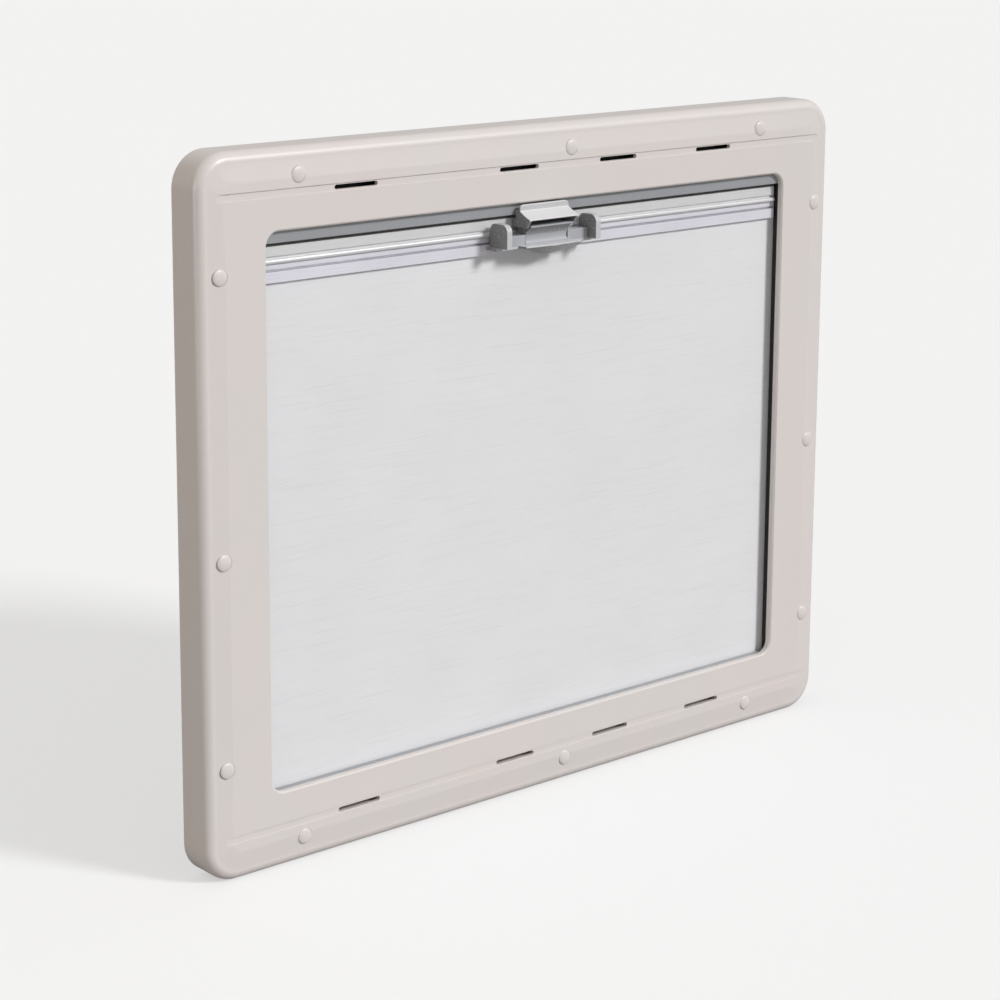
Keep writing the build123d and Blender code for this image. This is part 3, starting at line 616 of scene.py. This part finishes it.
class WINDOW_OT_caps(bpy.types.Operator):
    """Add a domed cap over each screw"""

    bl_idname = "window.caps"
    bl_label = "Screw Caps"

    def model(self, back, sizes):
        """One domed cap with a narrower plug behind it, at the origin of the front view."""
        radius = sizes.cap_radius
        deselect()
        bpy.ops.mesh.primitive_cylinder_add(
            vertices=CAP_SIDES,
            radius=radius,
            depth=back - sizes.cap_rim,
            location=(0, (back + sizes.cap_rim) / 2, 0),
            rotation=(math.radians(90), 0, 0),
        )
        cap = bpy.context.object
        bpy.ops.object.transform_apply(location=True, rotation=True, scale=True)
        pick(cap, "polygons", lambda f: f.normal.y < -0.9)
        done, risen = 0.0, 0.0
        for ring in range(1, DOME_RINGS + 1):
            turn = math.pi / 2 * ring / DOME_RINGS
            inward = radius * DOME_REACH * (1 - math.cos(turn))
            height = sizes.cap_dome * math.sin(turn)
            bpy.ops.mesh.inset(thickness=inward - done, depth=height - risen)
            done, risen = inward, height
        pick(cap, "vertices", lambda v: v.co.y > 0.9 * back)
        bpy.ops.transform.resize(value=(PLUG_SHARE, 1, PLUG_SHARE))
        bpy.ops.object.mode_set(mode="OBJECT")
        bpy.ops.object.shade_smooth_by_angle(angle=math.radians(50))
        return cap

    def execute(self, context):
        finishes = context.scene.window_finishes
        sizes = context.scene.window_sizes
        plastic = moulded_plastic("cap_plastic", finishes.bezel, 0.36)
        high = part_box("screw_caps_top")[1]
        model = self.model(high.y - FRONT_Y, sizes)
        for row, spots in cap_places().items():
            for count, (x, z) in enumerate(spots, 1):
                cap = model.copy()
                cap.data = model.data.copy()
                cap.name = f"screw_cap_{row}_{count}"
                cap.location = (x, FRONT_Y, z)
                context.scene.collection.objects.link(cap)
                take(cap)
                bpy.ops.object.transform_apply(location=True, rotation=True, scale=True)
                wear(cap, plastic)
                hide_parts("screw_caps_" + row)
        bpy.data.objects.remove(model)
        return {"FINISHED"}


class WINDOW_OT_cloth(bpy.types.Operator):
    """Lay in the blind's cloth and the flyscreen's mesh"""

    bl_idname = "window.cloth"
    bl_label = "Cloth"

    def sheet(self, node, name, material, slot, rests_on, rows, columns):
        """A stretched sheet in the place of its solid."""
        low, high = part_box(node)
        deselect()
        bpy.ops.mesh.primitive_grid_add(
            x_subdivisions=columns,
            y_subdivisions=rows,
            size=1,
            location=(low + high) / 2,
            rotation=(math.radians(90), 0, 0),
        )
        cloth = bpy.context.object
        cloth.name = name
        cloth.scale = (high.x - low.x, high.z - low.z, 1)
        bpy.ops.object.transform_apply(location=True, rotation=True, scale=True)
        thick = cloth.modifiers.new("cloth", "SOLIDIFY")
        thick.thickness = high.y - low.y
        thick.offset = 0
        apply_all(cloth)
        bpy.ops.object.shade_smooth_by_angle(angle=math.radians(40))
        wear(cloth, material)
        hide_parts(node)

    def execute(self, context):
        finishes = context.scene.window_finishes
        cloth = coated_cloth("blind_cloth", finishes.fabric)
        mesh = insect_mesh("insect_mesh", finishes.mesh)
        for node, name, material, slot, held_by, rows in (
            ("blind_fabric", "blind_sheet", cloth, "cloth", ["blind_rail", "blind_roller"], 40),
            ("flyscreen_mesh", "mesh_sheet", mesh, "mesh", ["flyscreen_rail", "flyscreen_roller"], 4),
        ):
            self.sheet(node, name, material, slot, held_by, rows, 50)
        return {"FINISHED"}


class WINDOW_OT_catch(bpy.types.Operator):
    """Shape, round and dress the twin catch"""

    bl_idname = "window.catch"
    bl_label = "Twin Catch"

    def draw_back(self, piece):
        """The foot of the grip's scooped front goes back, row by row."""
        sizes = bpy.context.scene.window_sizes
        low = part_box("blind_grip")[0]
        rows = {}
        for vertex in piece.data.vertices:
            if vertex.co.y < low.y + GRIP_FRONT:
                rows.setdefault(round(vertex.co.z, 5), set()).add(vertex.index)
        for height, members in rows.items():
            share = 1 - (height - low.z) / GRIP_RISE
            if share <= 0:
                continue
            pick(piece, "vertices", lambda v: v.index in members)
            bpy.ops.transform.translate(value=(0, sizes.grip_set * share, 0))
        bpy.ops.object.mode_set(mode="OBJECT")

    def lip(self, sizes):
        """A thin plate whose front bows out, spun from its end profile."""
        low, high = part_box("catch_base")
        middle = (low.x + high.x) / 2
        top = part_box("blind_grip")[0].z + LIP_OVER
        half, bow = sizes.lip_width / 2, sizes.lip_bow
        radius = (half**2 + bow**2) / (2 * bow)
        front = low.y + bow + LIP_INSIDE
        deselect()
        bpy.ops.mesh.primitive_plane_add(
            size=1,
            location=(middle - half, front + LIP_DEEP / 2, top - sizes.lip_thick / 2),
            rotation=(0, math.radians(90), 0),
        )
        plate = bpy.context.object
        plate.name = "catch_lip"
        plate.scale = (sizes.lip_thick, LIP_DEEP, 1)
        bpy.ops.object.transform_apply(location=True, rotation=True, scale=True)
        bpy.ops.object.mode_set(mode="EDIT")
        bpy.ops.mesh.select_all(action="SELECT")
        bpy.ops.mesh.spin(
            steps=LIP_STEPS,
            angle=-2 * math.asin(half / radius),
            center=(middle, low.y + LIP_INSIDE + radius, top),
            axis=(0, 0, 1),
        )
        bpy.ops.mesh.select_all(action="SELECT")
        bpy.ops.mesh.remove_doubles(threshold=WELD / 2)
        bpy.ops.mesh.normals_make_consistent(inside=False)
        bpy.ops.object.mode_set(mode="OBJECT")
        edge = plate.modifiers.new("edge", "BEVEL")
        edge.width = LIP_EDGE
        edge.segments = 2
        edge.limit_method = "ANGLE"
        bpy.ops.object.shade_smooth_by_angle(angle=math.radians(35))
        apply_all(plate)
        return plate

    def execute(self, context):
        finishes = context.scene.window_finishes
        sizes = context.scene.window_sizes
        # Each catch plastic carries painted shade on its sides and undersides.
        pale = grip_plastic("catch_plastic", finishes.catch, finishes.shade)
        grey = grip_plastic("grip_plastic", finishes.grip, finishes.shade)
        # Painted shade: the tab's and lip's upright faces get three quarters of their colour.
        bright = grip_plastic("tab_plastic", finishes.tab, finishes.shade, 0.75)
        for node, name, plastic, shape in (
            ("catch_base", "catch_ledge", pale, None),
            ("blind_grip", "catch_grip", grey, self.draw_back),
            ("flyscreen_tab", "catch_tab", bright, None),
        ):
            piece = softened(node, name, sizes.catch_edge, 25, shape)
            wear(piece, plastic)
        lip = self.lip(sizes)
        wear(lip, bright)
        return {"FINISHED"}


class WINDOW_OT_carried(bpy.types.Operator):
    """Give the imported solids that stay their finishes"""

    bl_idname = "window.carried"
    bl_label = "Rails, Guides and Cassettes"

    def execute(self, context):
        finishes = context.scene.window_finishes
        rail = lacquered_rail("rail_lacquer", finishes.lacquer)
        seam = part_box("blind_rail")[0].z + RAIL_SEAM_UP
        lower = lacquered_rail("lower_rail_lacquer", finishes.lower_rail, seam)
        extrusion = lacquered_rail("cassette_extrusion", finishes.cassette)
        grey = moulded_plastic("grey_plastic", finishes.catch, 0.5)
        black = moulded_plastic("black_plastic", finishes.dark, 0.5)
        pile = brush_pile("brush_pile", finishes.dark)
        worn = {
            "flyscreen_rail": rail,
            "blind_rail": lower,
            "flyscreen_cassette": extrusion,
            "blind_cassette": extrusion,
            "flyscreen_roller": extrusion,
            "blind_roller": extrusion,
            # Painted shade: the upper vent channel is black to stand in for the dark hollow behind the
            # slots.
            "vent_channel_top": black,
            # Painted shade: the lower vent channel's darkened tan stands in for the shaded walls of the
            # slots.
            "vent_channel_bottom": moulded_plastic("pocket_plastic", finishes.pocket, 0.6),
        }
        for side in ("left", "right"):
            worn["flyscreen_bracket_" + side] = grey
            worn["blind_bracket_" + side] = grey
            worn["flyscreen_rail_cap_" + side] = grey
            worn["blind_rail_cap_" + side] = grey
            worn["guide_rail_" + side] = extrusion
            worn["brush_seal_" + side] = pile
        for node, material in worn.items():
            for place in frame["nodes"][node].material_slots:
                place.material = material
        return {"FINISHED"}


class WINDOW_PT_panel(bpy.types.Panel):
    """Steps that dress the window"""

    bl_label = "Caravan Window"
    bl_space_type = "VIEW_3D"
    bl_region_type = "UI"
    bl_category = "Window"

    def draw(self, context):
        for operator in STEPS:
            self.layout.operator(operator.bl_idname)
        for group in ("window_finishes", "window_sizes", "window_stage"):
            settings = getattr(context.scene, group)
            for name in settings.__annotations__:
                self.layout.prop(settings, name)


STEPS = (
    WINDOW_OT_stage,
    WINDOW_OT_bezel,
    WINDOW_OT_caps,
    WINDOW_OT_cloth,
    WINDOW_OT_catch,
    WINDOW_OT_carried,
)
SETTINGS = {
    "window_finishes": WindowFinishes,
    "window_sizes": WindowSizes,
    "window_stage": WindowStage,
}


def register():
    """The classes and the scene's settings come in."""
    for kind in (*SETTINGS.values(), *STEPS, WINDOW_PT_panel):
        bpy.utils.register_class(kind)
    for name, kind in SETTINGS.items():
        setattr(bpy.types.Scene, name, PointerProperty(type=kind))


def unregister():
    """The settings and the classes go out."""
    for name in SETTINGS:
        delattr(bpy.types.Scene, name)
    for kind in reversed((*SETTINGS.values(), *STEPS, WINDOW_PT_panel)):
        bpy.utils.unregister_class(kind)


def main():
    """Every step in order."""
    register()
    bpy.ops.window.stage()
    bpy.ops.window.bezel()
    bpy.ops.window.caps()
    bpy.ops.window.cloth()
    bpy.ops.window.catch()
    bpy.ops.window.carried()


if __name__ == "__main__":
    main()
